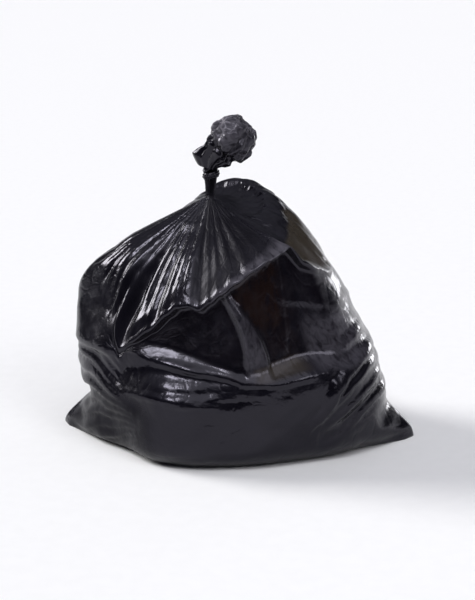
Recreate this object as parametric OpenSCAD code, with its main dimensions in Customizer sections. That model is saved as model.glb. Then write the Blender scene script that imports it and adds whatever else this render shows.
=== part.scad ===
/* [Main sizes] */
// Width of the filled belly from left to right
body_w = 520; // [400:1:640]
// Depth of the filled belly from front to back
body_d = 391; // [300:1:480]
// Height from the floor to the root of the neck
body_h = 412; // [320:1:500]

/* [Body levels, as shares of the height] */
// Widest part of the belly
belly_level = 0.15; // [0.12:0.005:0.18]
// Fold line under the front face
waist_level = 0.364; // [0.32:0.005:0.4]
// Middle of the wall
wall_level = 0.546; // [0.5:0.005:0.59]
// Shoulder
shoulder_level = 0.675; // [0.64:0.005:0.71]
// Middle of the gathered slope
slope_level = 0.801; // [0.77:0.005:0.84]
// Crown round the neck
crown_level = 0.913; // [0.89:0.005:0.94]

/* [Body sections, as shares of the width and depth] */
// Belly reach: left, right, front, back
belly_reach = [0.504, 0.496, 0.476, 0.524]; // [0.3:0.005:0.6]
// Waist reach: left, right, front, back
waist_reach = [0.523, 0.45, 0.471, 0.524]; // [0.3:0.005:0.6]
// Wall reach: left, right, front, back
wall_reach = [0.533, 0.379, 0.445, 0.506]; // [0.25:0.005:0.6]
// Shoulder reach: left, right, front, back
shoulder_reach = [0.506, 0.327, 0.399, 0.46]; // [0.2:0.005:0.6]
// Slope reach: left, right, front, back
slope_reach = [0.385, 0.254, 0.292, 0.373]; // [0.15:0.005:0.5]
// Crown reach: left, right, front, back
crown_reach = [0.233, 0.15, 0.153, 0.251]; // [0.1:0.005:0.3]
// Squareness of the body sections, 2 being an ellipse
squareness = 2.35; // [2:0.05:3]
// Height over which the wall rolls under to the floor
floor_roll_h = 34; // [22:1:44]
// How far the floor outline lies inside the belly
floor_roll_inset = 34; // [20:1:48]

/* [Bottom corners] */
// How far each bottom corner of the film stands out of the belly
ear_reach = 48; // [30:1:75]
// Half the angle that a bottom corner takes up at its root
ear_spread = 24; // [16:1:32]
// Height at which a bottom corner runs out into the side
ear_rise = 66; // [45:1:80]
// Outward push of the loose fill at the front left
front_corner_out = 26; // [10:1:36]
// Direction of the loose fill at the front left
front_corner_angle = 247; // [232:1:258]

/* [Box inside] */
// Depth of the flat faces that the film draws over the box
face_depth = 3; // [1:0.5:6]
// Lean of the flat faces from upright
face_lean = 12; // [9:1:15]
// Lean of the flat wall at the left of the faces
side_lean = 20; // [17:1:23]
// Lean of the flat plane at the top of the box
top_lean = 43; // [40:1:46]
// How far the edge under the gathers stands out
lip_out = 7; // [3:1:12]
// How far the upright edge of the box stands out
box_edge_out = 9; // [3:1:14]
// Direction of the upright edge of the box
box_edge_angle = 284; // [274:1:292]

/* [Line under the gathers, as shares of the height] */
// Drop of the line below the crown at the left
lip_drop_left = 0.233; // [0.17:0.005:0.28]
// Drop at its lowest point, at the front left
lip_drop_point = 0.458; // [0.4:0.005:0.47]
// Drop at the front
lip_drop_front = 0.258; // [0.22:0.005:0.31]
// Drop at the front right
lip_drop_right = 0.035; // [0.03:0.005:0.09]
// Drop at the right side
lip_drop_side = 0.193; // [0.15:0.005:0.23]
// Drop at the back
lip_drop_back = 0.146; // [0.085:0.005:0.22]
// Direction of the lowest point
lip_point_angle = 222; // [217:1:227]

/* [Gathers] */
// Number of gathers drawn in to the neck
gathers = 24; // [16:2:30]
// Depth of a gather on the slope
gather_depth = 13; // [5:1:18]
// How unevenly the gathers are spaced, in degrees
gather_shift = 2; // [0:0.5:4]
// How much closer the gathers stand at the front left, in degrees
gather_crowding = 9; // [0:1:12]
// Height of the hump of film behind the neck
hump_rise = 43; // [20:1:54]
// Direction of the hump from the neck
hump_angle = 70; // [45:1:100]
// Depth of the creases that run round the belly
crease_depth = 6; // [1:0.5:9]
// How far the belly rolls out under the flat faces
belly_roll_out = 7; // [2:1:12]

/* [Neck and knot] */
// Neck position left of the base centre
neck_left = 44; // [30:1:60]
// Neck position in front of the base centre
neck_front = 8; // [-10:1:25]
// Radius of the gathered neck
neck_r = 10.5; // [7:0.5:13]
// Height of the neck from its root to the knot
neck_h = 32; // [20:1:42]
// Radius of the strand that goes round the neck as the knot
strand_r = 6.5; // [4.5:0.5:8]
// Rise of the knot's strand in one turn
knot_pitch = 9; // [5:1:14]

/* [Tuft] */
// Length of the loose film above the knot
tuft_length = 98; // [75:1:120]
// Radius of the bunched film at the top
tuft_r = 35; // [26:1:43]
// Lean of the tuft to the right
tuft_lean = 41; // [20:1:52]
// Number of gathers in the tuft
tuft_gathers = 11; // [7:1:15]
// How far the loose tip of film stands out at the left
tip_reach = 25; // [8:1:28]
// Depth of the hollow in the bunched mouth
mouth_depth = 16; // [8:1:24]

/* [Hidden] */

film = [0.05, 0.05, 0.06];
quarter = 90;
around = 360;
columns_per_gather = 4;
tuft_columns_per_gather = 4;
right_ear_angle = 4;
left_ear_angle = 180;
tip_angle = 178;

belly_h = belly_level * body_h;
waist_h = waist_level * body_h;
crown_h = crown_level * body_h;
knot_h = body_h + neck_h;
knot_size = knot_pitch + 2 * strand_r;
columns = gathers * columns_per_gather;

// A section: height, then how far it reaches on each side of the base centre.
function section(level, reach) = [
    level * body_h,
    -reach[0] * body_w,
    reach[1] * body_w,
    -reach[2] * body_d,
    reach[3] * body_d,
];
root_section = [body_h, -neck_left - neck_r, -neck_left + neck_r, -neck_front - neck_r, -neck_front + neck_r];
sections = [
    section(0, belly_reach),
    section(belly_level, belly_reach),
    section(waist_level, waist_reach),
    section(wall_level, wall_reach),
    section(shoulder_level, shoulder_reach),
    section(slope_level, slope_reach),
    section(crown_level, crown_reach),
    root_section,
];

// Even helpers: a soft bump, a tent with a sharp top, the short way round a circle, and a blend.
function bump(x) = let (k = min(abs(x), 1)) pow(1 - k * k, 2);
function tent(x) = max(0, 1 - abs(x));
function turn(a) = a - around * round(a / around);
function blend(a, b, k) = a + (b - a) * k;
function ease(x) = let (k = max(0, min(1, x))) k * k * (3 - 2 * k);

// Smooth value of column c of the sections at height h.
function slope_at(i, c) = let (
    low = sections[max(i - 1, 0)],
    high = sections[min(i + 1, len(sections) - 1)]
) (high[c] - low[c]) / (high[0] - low[0]);
function segment(h) = max([for (i = [0 : len(sections) - 2]) if (i == 0 || sections[i][0] <= h) i]);
function reach_at(h, c) = let (
    i = segment(h),
    p = sections[i],
    q = sections[i + 1],
    run = q[0] - p[0],
    k = (h - p[0]) / run,
    k2 = k * k,
    k3 = k2 * k
) (2 * k3 - 3 * k2 + 1) * p[c] + (k3 - 2 * k2 + k) * run * slope_at(i, c)
    + (3 * k2 - 2 * k3) * q[c] + (k3 - k2) * run * slope_at(i + 1, c);

// The middle of the body moves from the base centre to the neck as it rises.
function middle(h) = pow(h / body_h, 2) * [-neck_left, -neck_front];

// Plain outline of the filled film, before its folds.
function plain_radius(a, h) = let (
    m = middle(h),
    across = cos(a) > 0 ? reach_at(h, 2) - m[0] : m[0] - reach_at(h, 1),
    deep = sin(a) > 0 ? reach_at(h, 4) - m[1] : m[1] - reach_at(h, 3),
    n = blend(squareness, 2, ease(h / body_h))
) pow(pow(abs(cos(a)) / across, n) + pow(abs(sin(a)) / deep, n), -1 / n);

// The line under the gathers, as a drop below the crown for each direction.
lip_drops = [
    [0, lip_drop_side],
    [quarter, lip_drop_back],
    [2 * quarter, lip_drop_left],
    [lip_point_angle - 19, lip_drop_left - 0.03],
    [lip_point_angle - 10, lip_drop_left],
    [lip_point_angle, lip_drop_point],
    [lip_point_angle + 6, blend(lip_drop_point, lip_drop_front, 0.23)],
    [lip_point_angle + 14, blend(lip_drop_point, lip_drop_front, 0.5)],
    [lip_point_angle + 24, blend(lip_drop_point, lip_drop_front, 0.86)],
    [lip_point_angle + 36, 0.965 * lip_drop_front],
    [lip_point_angle + 42, 1.02 * lip_drop_front],
    [3 * quarter + 7, blend(lip_drop_front, lip_drop_right, 0.265)],
    [3 * quarter + 17, blend(lip_drop_front, lip_drop_right, 0.46)],
    [3 * quarter + 28, blend(lip_drop_front, lip_drop_right, 0.66)],
    [3 * quarter + 38, blend(lip_drop_front, lip_drop_right, 0.82)],
    [around - 39, lip_drop_right],
    [around - 33, blend(lip_drop_right, lip_drop_side, 0.46)],
    [around - 23, blend(lip_drop_right, lip_drop_side, 0.71)],
    [around, lip_drop_side],
];
function lip_segment(a) = max([for (i = [0 : len(lip_drops) - 2]) if (lip_drops[i][0] <= a) i]);
function lip_h(a) = let (
    i = lip_segment(a),
    p = lip_drops[i],
    q = lip_drops[i + 1],
    k = (a - p[0]) / (q[0] - p[0])
) crown_h - body_h * blend(p[1], q[1], blend(k, ease(k), 0.5));

// The fold line under the flat faces rises to meet the lip at its lowest point.
fold_gap = 0.034 * body_h;
fold_lifts = [
    [lip_point_angle, 40, 0.083 * body_h],
    [front_corner_angle + 8, 24, 0.029 * body_h],
    [around - 25, 50, 0.029 * body_h],
    [box_edge_angle + 8, 22, -0.014 * body_h],
];
function lifted(a, i = 0) = i >= len(fold_lifts) ? waist_h
    : fold_lifts[i][2] * bump(turn(a - fold_lifts[i][0]) / fold_lifts[i][1]) + lifted(a, i + 1);
function fold_h(a) = min(lip_h(a) - fold_gap, lifted(a));

// How much of the box shows in each direction: all of it between these two angles.
function face_share(a) = ease((a - lip_point_angle - 1) / 12) * ease((around - 4 - a) / 30);

function ear_share(a) = pow(tent(turn(a - right_ear_angle) / ear_spread), 1.7)
    + pow(tent(turn(a - left_ear_angle) / ear_spread), 1.7);
function ear_out(a, h) = ear_reach * bump(h / ear_rise) * ear_share(a);

// Where the loose fill pushes the film out or leaves it slack: direction and its spread in degrees,
// height and its spread, and how far out. The push under the faces ends in a shelf.
function shelf(h) = let (u = h / body_h) ease((0.37 - u) / 0.14) * (0.75 + 0.25 * ease(u / 0.12));
fills = [
    [front_corner_angle - 28, 22, 0.024 * body_h, 0.243 * body_h, -0.041 * body_d],
    [front_corner_angle + 75, 46, 0.034 * body_h, 0.316 * body_h, -0.072 * body_d],
    [left_ear_angle, 34, ear_rise + 0.034 * body_h, 0.083 * body_h, -0.023 * body_w],
    [around - 10, 30, 0.95 * body_h, 0.045 * body_h, -0.022 * body_h],
];
function fill(f, a, h) = f[4] * bump(turn(a - f[0]) / f[1]) * bump((h - f[2]) / f[3]);
function fill_out(a, h, i = 0) = i >= len(fills)
    ? shelf(h) * (front_corner_out * bump(turn(a - front_corner_angle) / 40)
        + belly_roll_out * bump(turn(a - box_edge_angle) / 60))
    : fill(fills[i], a, h) + fill_out(a, h, i + 1);

// The box holds the film out, as a wall that leans in a little, up to the line under the gathers.
wall_h = wall_level * body_h;
function box_out(a, h) = let (
    lip = lip_h(a),
    low = min(h, lip),
    out = max(0, plain_radius(a, wall_h) - 0.2 * (low - wall_h) - plain_radius(a, low)),
    above = max(0, min(1, (h - lip) / (crown_h + 12 - lip)))
) out * ease((low - wall_h + 15) / 30) * pow(1 - above, 1.3) * ease((a - lip_point_angle - 3) / 14)
    * ease((around - a) / 34);
function filled_radius(a, h) = plain_radius(a, h) + fill_out(a, h) + box_out(a, h);

// Planes that the film is drawn flat on: share of it that shows, direction and lean, then a place on the
// body as direction and height, and how far inside the body the plane lies there.
function face_inside(a, h) = face_share(a) * ease((h - fold_h(a)) / 20) * ease((lip_h(a) - 6 - h) / 8);
planes = [
    [0, box_edge_angle - 21, face_lean, box_edge_angle - 1, wall_h + 0.012 * body_h, face_depth],
    [0, box_edge_angle + 14, face_lean, box_edge_angle + 1, wall_h + 0.012 * body_h, face_depth],
    [1, lip_point_angle + 3, side_lean, lip_point_angle - 11, wall_h, 15],
    [2, around - 12, top_lean, around - 15, 0.825 * body_h, 7],
];
function plane_share(kind, a, h) = kind == 0 ? face_inside(a, h) : kind == 1 ? 1
    : ease((h - lip_h(a)) / 10);
function dot3(n, p) = n[0] * p[0] + n[1] * p[1] + n[2] * p[2];
plane_reaches = [for (f = planes) let (
    n = [cos(f[1]) * cos(f[2]), sin(f[1]) * cos(f[2]), sin(f[2])],
    m = middle(f[4]),
    r = filled_radius(f[3], f[4]) - f[5]
) [n, dot3(n, [m[0] + r * cos(f[3]), m[1] + r * sin(f[3]), f[4]])]];
function flattened(a, h, r, i = 0) = i >= len(planes) ? r : let (
    n = plane_reaches[i][0],
    m = middle(h),
    facing = max(0.05, n[0] * cos(a) + n[1] * sin(a)),
    over = r - (plane_reaches[i][1] - dot3(n, [m[0], m[1], h])) / facing,
    cut = min(26, (over + sqrt(over * over + 9)) / 2)
) flattened(a, h, r - plane_share(planes[i][0], a, h) * cut * ease((facing - 0.3) / 0.25), i + 1);

// From the lowest point of the line under the gathers, the film is drawn straight to the neck.
function taut(a, h, r) = let (
    lip = lip_h(a),
    share = h > lip && h < crown_h ? 0.75 * ease((a - lip_point_angle + 9) / 10)
        * ease((lip_point_angle + 44 - a) / 26) : 0,
    k = (h - lip) / (crown_h - lip)
) share == 0 ? r
    : r - share * max(0, r - blend(filled_radius(a, lip), filled_radius(a, crown_h), k) - 7 * sin(2 * quarter * k));

// The film makes a bevel over the upright edge of the box, wider at its foot, which leans to the left.
// The columns of points near it lean with it.
function edge_up(h) = max(0, min(1, (h / body_h - 0.442) / 0.238));
function edge_angle(h) = box_edge_angle + 8 - 12 * pow(edge_up(h), 2);
function box_bevel(a, h) = max(0, min(1, (4 + 4 * (1 - edge_up(h)) - abs(turn(a - edge_angle(h)))) / 3));
function face_out(a, h) = face_inside(a, h)
    * (box_edge_out * (0.6 + 0.4 * bump((h / body_h - 0.53) / 0.18)) * box_bevel(a, h) - face_depth);

// The edge under the gathers stands out over the faces as a hem.
function curtain(a) = ease((a - lip_point_angle + 3) / 6) * ease((around - 32 - a) / 8);
function lip_ridge(a, h) = let (t = h - lip_h(a))
    lip_out * curtain(a) * (t < -7 ? 0 : t < 7 ? (t + 7) / 14 : max(0, 1 - (t - 7) / 53));

// Creases, each from one direction and share of the height to another, with its spread, its depth and
// its bend. Those with a depth below nothing are rolls of slack film that stand out.
crease_lines = [
    [194, 0.473, 246, 0.204, 0.068, 0.6, 1],
    [318, 0.102, 356, 0.262, 0.058, 0.8, 1],
    [18, 0.153, 66, 0.298, 0.073, 0.8, 1],
    [62, 0.546, 118, 0.419, 0.078, 0.7, 1],
    [122, 0.182, 166, 0.393, 0.073, 1, 1],
    [196, 0.48, 254, 0.17, 0.048, -1, 0.6],
    [192, 0.36, 250, 0.05, 0.048, -1, 0.6],
    [312, 0.13, 372, 0.41, 0.062, -1.9, 0.5],
    [330, 0.1, 372, 0.2, 0.056, -1.2, 0.7],
    [14, 0.16, 66, 0.43, 0.05, -1, 1],
    [120, 0.19, 168, 0.44, 0.05, -1.2, 1],
];
function crease(line, a, h) = let (
    b = line[0] + (a - line[0] + around) % around,
    k = (b - line[0]) / (line[2] - line[0])
) k <= 0 || k >= 1 ? 0
    : -crease_depth * line[5] * pow(sin(2 * quarter * k), 0.6)
        * bump((h / body_h - blend(line[1], line[3], pow(k, line[6]))) / line[4]);
function crease_out(a, h, i = 0) = i >= len(crease_lines) ? 0
    : crease(crease_lines[i], a, h) + crease_out(a, h, i + 1);
function roll_in(a, h) = h >= floor_roll_h ? 0
    : let (k = 1 - h / floor_roll_h)
        floor_roll_inset * (1 - sqrt(1 - k * k)) * (1 - min(1, 1.4 * ear_share(a)));

// Gathers start at the lip and deepen up the slope, then close up to the neck's radius.
gather_start = 0.03 * body_h;
function gather_share(a, h) = let (k = (h - lip_h(a) + gather_start) / (body_h - lip_h(a) + gather_start))
    ease(k * 2.6) * (0.45 + 0.55 * bump((k - 0.45) / 0.9))
        * (1 - 0.95 * bump(turn(a - around + 10) / 50) * ease((0.95 * body_h - h) / 20))
        * (1 - 0.6 * bump(turn(a - 40) / 70));
function gather_in(j, a, h, r) = let (
    phase = (j % columns_per_gather) / columns_per_gather,
    valley = 1 - abs(2 * phase - 1),
    left = bump(turn(a - lip_point_angle) / 50),
    right = bump(turn(a - around + 62) / 64),
    deep = 0.74 + 0.18 * sin(a * 5 + 40) * sin(a * 2) + 0.16 * left - 0.48 * right,
    near = 0.3 + 0.7 * min(1, r / (0.385 * body_d))
) min(gather_depth * deep * near, 0.3 * r) * valley * gather_share(a, h);

// The film heaps up behind the neck, between the slope and the neck's root.
hump_h = blend(crown_h, body_h, 0.1);
hump_low = 0.675 * body_h;
function hump(a, h) = hump_rise * bump(turn(a - hump_angle) / 80)
    * bump((h - hump_h) / (h > hump_h ? body_h - hump_h : hump_h - hump_low));

gather_turn = 2.7;
function column_angle(j) = let (u = around * j / columns + gather_turn)
    u + gather_shift * (sin(3 * u + 20) - sin(20)) + gather_crowding * (sin(u - 35) + sin(35));
function point_angle(j, h) = let (a = (column_angle(j) + around) % around)
    a + (edge_angle(h) - box_edge_angle - 2) * bump(turn(a - box_edge_angle - 2) / 30)
        * bump((h / body_h - 0.56) / 0.34);
function film_point(j, h) = let (
    a = point_angle(j, h),
    m = middle(h),
    plain = flattened(a, h, taut(a, h, filled_radius(a, h))) + ear_out(a, h) + face_out(a, h) + lip_ridge(a, h)
        + crease_out(a, h) - roll_in(a, h),
    r = plain - gather_in(j, a, h, plain)
) [m[0] + r * cos(a), m[1] + r * sin(a), h + hump(a, h)];

// Rails that the rings keep to in each column, and the number of rings up to each rail.
rail_rings = [2, 3, 9, 6, 3, 7, 3, 4];
function rails(a) = [
    0,
    0.6 * floor_roll_h,
    belly_h,
    fold_h(a),
    lip_h(a) - 9,
    lip_h(a) + 8,
    blend(lip_h(a), crown_h, 0.72),
    crown_h,
    body_h,
];
ring_places = [for (r = [0 : len(rail_rings) - 1]) for (i = [0 : rail_rings[r] - 1]) [r, i / rail_rings[r]]];
function ring_height(j, place) = let (
    a = (column_angle(j) + around) % around,
    f = rails(a)
) blend(f[place[0]], f[place[0] + 1], place[1]);

// Closed skin over a stack of equal rings, with a centre point at each end. The facets are split along
// the creases: where the creases fall as the direction grows, up to the given row, they are split the other way.
function skin_points(rings, low, high) = concat([for (ring = rings) each ring], [low, high]);
function falls(j) = let (a = column_angle(j)) (a > 186 && a < 262) || (a > 60 && a < 118);
function skin_faces(rows, n, fall_rows = 0) = let (low = rows * n, high = low + 1) concat(
    [for (i = [0 : rows - 2]) for (j = [0 : n - 1]) let (
        a = i * n + j,
        b = i * n + (j + 1) % n
    ) each i < fall_rows && falls(j) ? [[a, a + n, b], [b, a + n, b + n]] : [[a, a + n, b + n], [a, b + n, b]]],
    [for (j = [0 : n - 1]) [low, j, (j + 1) % n]],
    [for (j = [0 : n - 1]) [high, (rows - 1) * n + (j + 1) % n, (rows - 1) * n + j]]
);

// The neck is a short pleated column that ends inside the knot.
neck_rings = [0, 0.4, 0.8, 1.2];
function neck_point(j, k) = let (
    a = column_angle(j),
    phase = (j % columns_per_gather) / columns_per_gather,
    r = neck_r * (1 - 0.08 * sin(2 * quarter * min(k, 1))) - 0.22 * neck_r * (1 - abs(2 * phase - 1)),
    z = body_h + k * neck_h
) [-neck_left + r * cos(a), -neck_front + r * sin(a), z];

module body() {
    rings = concat(
        [for (p = ring_places) [for (j = [0 : columns - 1]) film_point(j, ring_height(j, p))]],
        [for (k = neck_rings) [for (j = [0 : columns - 1]) neck_point(j, k)]]
    );
    top = [-neck_left, -neck_front, body_h + neck_rings[len(neck_rings) - 1] * neck_h];
    fold_row = rail_rings[0] + rail_rings[1] + rail_rings[2];
    polyhedron(skin_points(rings, [0, 0, 0], top), skin_faces(len(rings), columns, fold_row), convexity = 10);
}

// One strand of film goes once round the neck and tucks under itself.
knot_steps = 20;
function strand_point(i) = let (
    k = i / knot_steps,
    a = 150 + 430 * k,
    tuck = 0.45 + 0.55 * ease(5 * k) * ease(5 * (1 - k)),
    out = 0.86 * neck_r * tuck
) [
    -neck_left + out * cos(a),
    -neck_front + out * sin(a),
    knot_h + 0.7 * strand_r + knot_pitch * (k + 0.22 * sin(a)),
];
module knot() {
    for (i = [0 : knot_steps - 1]) {
        hull() {
            translate(strand_point(i)) sphere(strand_r, $fn = 12);
            translate(strand_point(i + 1)) sphere(strand_r, $fn = 12);
        }
    }
}

// The tuft follows a line that leaves the knot upright and then leans to the right.
tuft_start = knot_h + 0.2 * knot_size;
tuft_lead = 0.6 * knot_size;
tuft_run = tuft_lead + tuft_length;
lean_length = 0.265 * tuft_length;
function lean_at(s) = tuft_lean * max(0, min(1, (s - tuft_lead) / lean_length + 0.3));
tuft_steps = 60;
tuft_step = tuft_run / (tuft_steps - 1);
tuft_line = [for (i = 0, p = [-neck_left, 0, tuft_start]; i <= tuft_steps; i = i + 1,
    p = p + tuft_step * [sin(lean_at(i * tuft_step)), 0, cos(lean_at(i * tuft_step))]) p];
function tuft_middle(s) = let (i = floor(s / tuft_step), k = s / tuft_step - i)
    blend(tuft_line[i], tuft_line[min(i + 1, tuft_steps)], k) - [0, neck_front, 0];

// Radius along the tuft, as shares of its length and of its full radius, then the mouth's hollow.
tuft_flare = [[0, 0.26], [0.07, 0.38], [0.17, 0.56], [0.29, 0.76], [0.42, 0.93], [0.55, 1.02], [0.68, 1.04],
    [0.8, 0.96], [0.9, 0.78], [0.97, 0.56]];
mouth_rings = [[0.8, 0.35], [0.5, 0.8]];
function tuft_gather(j, k) = let (phase = (j % tuft_columns_per_gather) / tuft_columns_per_gather)
    (1 - abs(2 * phase - 1)) * (0.1 + 0.14 * ease(2 * k) - 0.1 * ease((k - 0.34) / 0.14))
        * (0.7 + 0.3 * sin(97 * j));
function tuft_point(j, k, share, drop) = let (
    n = tuft_gathers * tuft_columns_per_gather,
    a = around * j / n + 5 * sin(3 * around * j / n),
    s = k > 0 ? tuft_lead + k * tuft_length : tuft_lead + k * tuft_lead,
    lean = lean_at(s),
    waisted = share * (1 - 0.2 * bump((k - 0.4 + 0.05 * cos(a)) / 0.1)),
    r = tuft_r * waisted * (1 - tuft_gather(j, k))
        + tip_reach * pow(tent((k - 0.09) / 0.24), 1.3) * pow(tent(turn(a - tip_angle) / 55), 1.3)
        + 0.14 * tuft_r * bump((k - 0.45) / 0.25) * bump(turn(a - tip_angle + 13) / 60),
    m = tuft_middle(s)
) m + [
    r * cos(a) * cos(lean) - drop * sin(lean),
    0.84 * r * sin(a),
    -r * cos(a) * sin(lean) - drop * cos(lean),
];
module tuft() {
    n = tuft_gathers * tuft_columns_per_gather;
    lip = tuft_flare[len(tuft_flare) - 1];
    rings = concat(
        [[for (j = [0 : n - 1]) tuft_point(j, -1, tuft_flare[0][1] * 0.8, 0)]],
        [for (f = tuft_flare) [for (j = [0 : n - 1]) tuft_point(j, f[0], f[1], 0)]],
        [for (f = mouth_rings) [for (j = [0 : n - 1])
            tuft_point(j, lip[0], lip[1] * f[0], mouth_depth * f[1])]]
    );
    low = tuft_middle(0);
    lean = lean_at(tuft_run);
    deep = tuft_middle(tuft_lead + lip[0] * tuft_length) - mouth_depth * [sin(lean), 0, cos(lean)];
    polyhedron(skin_points(rings, low, deep), skin_faces(len(rings), n), convexity = 6);
}

module tied_sack() {
    color(film) union() {
        body();
        knot();
        tuft();
    }
}

tied_sack();
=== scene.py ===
"""A filled and tied refuse sack: its film body, knot and tuft, on a pale studio floor."""

import math

import bpy
import numpy as np
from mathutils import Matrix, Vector


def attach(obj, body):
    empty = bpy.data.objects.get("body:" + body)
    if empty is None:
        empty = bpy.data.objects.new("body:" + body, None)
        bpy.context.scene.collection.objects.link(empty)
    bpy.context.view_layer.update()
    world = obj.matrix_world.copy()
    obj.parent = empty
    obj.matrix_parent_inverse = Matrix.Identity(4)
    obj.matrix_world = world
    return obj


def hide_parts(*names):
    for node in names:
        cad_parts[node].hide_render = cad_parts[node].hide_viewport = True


bl_info = {
    "name": "Tied refuse sack",
    "version": (1, 0, 0),
    "blender": (4, 5, 0),
    "location": "3D View > Sidebar > Sack",
    "description": "Makes a filled refuse sack tied in its own neck",
    "category": "Object",
}

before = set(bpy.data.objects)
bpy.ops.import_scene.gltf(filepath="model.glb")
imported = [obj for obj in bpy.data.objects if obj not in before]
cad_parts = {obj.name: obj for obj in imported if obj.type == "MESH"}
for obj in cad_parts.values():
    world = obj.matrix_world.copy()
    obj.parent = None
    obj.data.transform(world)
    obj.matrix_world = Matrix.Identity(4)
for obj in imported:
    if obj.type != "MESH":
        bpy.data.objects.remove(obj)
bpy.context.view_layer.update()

MM = 0.001

# Radius in metres of the round that the film's crinkles are laid out on.
FILM_GIRTH_R = 0.2346

# Places on the body. Directions are in degrees from +X towards +Y, levels are shares of the body's height
# and other lengths are in mm.
CORNERS = (4, 180)
CORNER_HALF = 24
CORNER_HEIGHT = 66
BASE_ROUND = 34
BOX_LEVEL = 0.546
BOX_LEAN = 0.2
SEAM_DIRECTION = 301.5
SEAM_LEAN = 0.04
LEFT_WALL_DIRECTION = 204
BOX_TOP_DIRECTION = 350
HUMP_DIRECTION = 70
HOLLOW_DEPTH = 6

# Facets of creased film, coarse and fine: how many, their length and their depth in mm.
BODY_FACETS = ((6, 95, 1.1), (5, 38, 0.35))
SIDE_FACETS = ((5, 70, 3.2), (4, 34, 0.8))
HUMP_FACETS = ((5, 34, 1.5), (6, 13, 0.8))
TUFT_FACETS = ((6, 26, 2.0), (6, 11, 0.7))

# Passes of the settling, from coarse to fine: every how many points of the grid, rounds, and the height in
# mm of the random start.
BODY_PASSES = ((4, 60, 1.2), (2, 60, 0.4), (1, 50, 0.15))
TUFT_PASSES = ((4, 60, 1.5), (2, 60, 0.7), (1, 40, 0.3))

# In each round: the share of the speed that stays, the share of a thread's stretch that is taken out, the
# stiffness against bending, the pull back to the rest, and how far in mm a point may slide on the fill.
MOMENTUM = 0.85
THREAD_GIVE = 0.9
STIFFNESS = 0.012
HOLD = 0.002
SLIDE = 7.0

# Body sections as level, then reach left, right, front and back. Shares of height, width and depth.
SECTIONS = (
    (0.0, 0.504, 0.496, 0.476, 0.524),
    (0.15, 0.504, 0.496, 0.476, 0.524),
    (0.364, 0.523, 0.45, 0.471, 0.524),
    (0.546, 0.533, 0.379, 0.445, 0.506),
    (0.675, 0.506, 0.327, 0.399, 0.46),
    (0.801, 0.385, 0.254, 0.292, 0.373),
    (0.913, 0.233, 0.15, 0.153, 0.251),
)
CROWN_LEVEL = 0.913
WAIST_LEVEL = 0.364
BELLY_LEVEL = 0.15

# The line under the gathers: direction, then level as a share of the height. It is lowest at the front
# left, hangs over the front face as a curtain, and follows the top edge of the box at the right.
LIP_POINT = 222
LIP_LINE = (
    (0, 0.72),
    (90, 0.767),
    (180, 0.68),
    (203, 0.71),
    (212, 0.68),
    (222, 0.455),
    (228, 0.5),
    (236, 0.555),
    (246, 0.625),
    (251, 0.655),
    (258, 0.664),
    (264, 0.65),
    (271, 0.682),
    (277, 0.714),
    (287, 0.757),
    (298, 0.803),
    (308, 0.838),
    (316, 0.862),
    (321, 0.878),
    (327, 0.805),
    (337, 0.765),
    (350, 0.73),
    (360, 0.72),
)

# Where the fold at the waist is lifted: share of the height, direction and half width.
WAIST_LIFTS = ((0.083, LIP_POINT, 40), (0.029, 255, 24), (0.029, 335, 50), (-0.014, 292, 22))

# Sides where the film of the belly is slack: direction and half width.
SLACK_SIDES = ((205, 40), (345, 34), (30, 40), (150, 40))

# Soft hollows: from direction and level to direction and level, with spread and depth.
HOLLOWS = (
    (194, 0.473, 246, 0.204, 0.068, 0.4),
    (318, 0.102, 356, 0.262, 0.058, 0.8),
    (18, 0.153, 66, 0.298, 0.073, 0.8),
    (62, 0.546, 118, 0.419, 0.078, 0.7),
    (122, 0.182, 166, 0.393, 0.073, 1.0),
)

# Planes that the film is drawn flat on: where it applies, direction and lean of the plane, then a place
# on the body as direction and level, how far inside the body the plane lies there, and how softly it meets
# the rest, both in mm.
PLANES = (
    ("face", 263, 12, 283, 0.558, 3, 3),
    ("face", 298, 12, 285, 0.558, 3, 3),
    ("all", 222, 20, 208, 0.56, 14, 10),
    ("above", 348, 43, 345, 0.825, 7, 3),
)

# Rolled folds in the film: half width and height in mm, then points as direction and level.
FOLDS = (
    (6, 4.5, ((254, 0.398), (265, 0.388), (277, 0.371), (284, 0.354), (300, 0.35), (310, 0.36), (319, 0.37))),
    (6, 3.5, ((238, 0.413), (246, 0.409), (254, 0.397), (264, 0.38))),
    (7, 2.5, ((236, 0.345), (258, 0.33), (292, 0.325))),
    (5, 2.6, ((226, 0.287), (250, 0.291), (296, 0.31))),
    (5, 3.0, ((247, 0.275), (258, 0.272), (272, 0.27))),
    (8, 6.5, ((312, 0.13), (319, 0.20), (325, 0.30), (331, 0.35), (342, 0.393), (354, 0.41), (368, 0.40))),
    (5, 3.5, ((318, 0.16), (325, 0.25), (333, 0.31), (344, 0.35), (362, 0.36))),
    (5, 3.0, ((322, 0.15), (331, 0.22), (340, 0.27), (352, 0.30), (364, 0.31))),
    (7, 5.5, ((330, 0.12), (340, 0.182), (347, 0.214), (354, 0.228), (366, 0.24))),
    (7, 3.5, ((328, 0.42), (338, 0.46), (352, 0.49), (366, 0.48))),
    (6, 1.2, ((306, 0.676), (314, 0.655), (327, 0.64), (344, 0.60))),
    (8, 6.0, ((16, 0.17), (34, 0.25), (52, 0.36), (64, 0.42))),
    (7, 4.5, ((30, 0.11), (52, 0.15), (76, 0.22))),
    (8, 4.5, ((64, 0.53), (88, 0.50), (114, 0.43))),
    (7, 4.5, ((84, 0.37), (108, 0.31), (134, 0.23))),
    (9, 6.5, ((122, 0.20), (140, 0.27), (156, 0.37), (166, 0.43))),
    (7, 4.5, ((128, 0.11), (150, 0.18), (168, 0.27))),
    (6, 4.0, ((10, 0.60), (34, 0.56), (58, 0.57))),
    (6, 4.0, ((128, 0.60), (148, 0.54), (170, 0.55))),
)

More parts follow.
